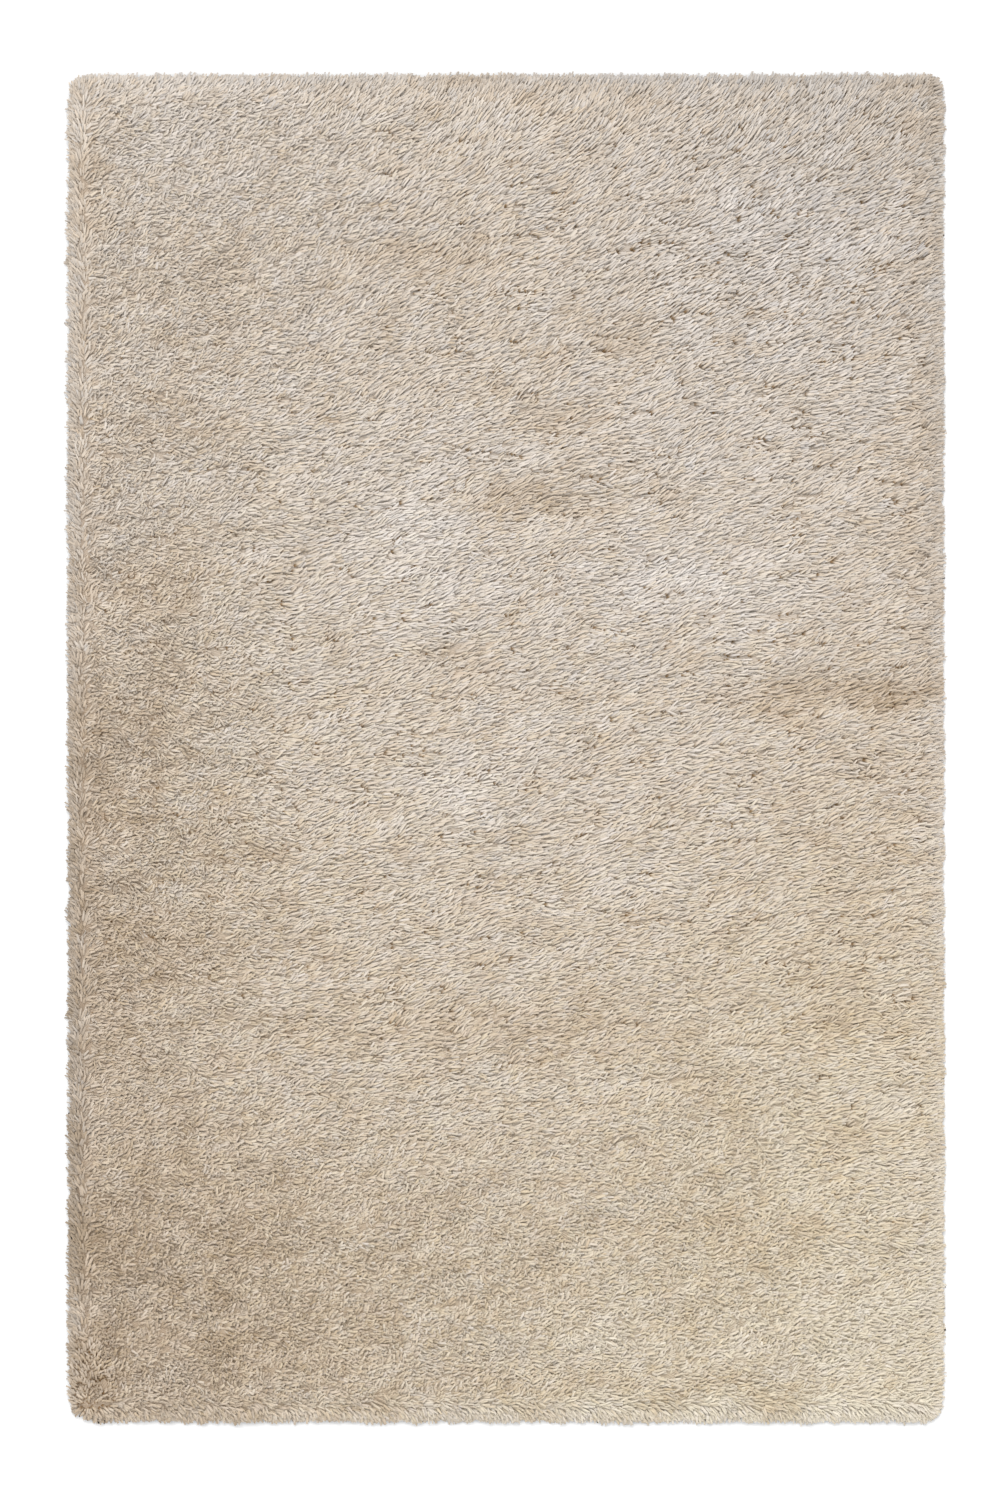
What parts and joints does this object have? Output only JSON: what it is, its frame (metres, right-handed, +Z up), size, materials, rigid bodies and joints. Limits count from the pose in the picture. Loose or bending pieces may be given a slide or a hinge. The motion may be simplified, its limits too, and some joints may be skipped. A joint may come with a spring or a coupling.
{
  "type": "shag rug",
  "caption": "Plain rectangular rug with a long, dense beige pile that lies in lumps and partings, with locks of yarn over its rim.",
  "frame": {"origin": "middle of the underside, on the floor", "axes": "+X across the rug's width, +Y along its length, +Z up out of the pile"},
  "size_m": [1.3, 2, 0.035],
  "materials": {
    "pile_yarn": "long, soft, slightly silky beige yarn pile"
  },
  "bodies": {
    "root": {"shag_rug": "pile_yarn"}
  },
  "joints": []
}
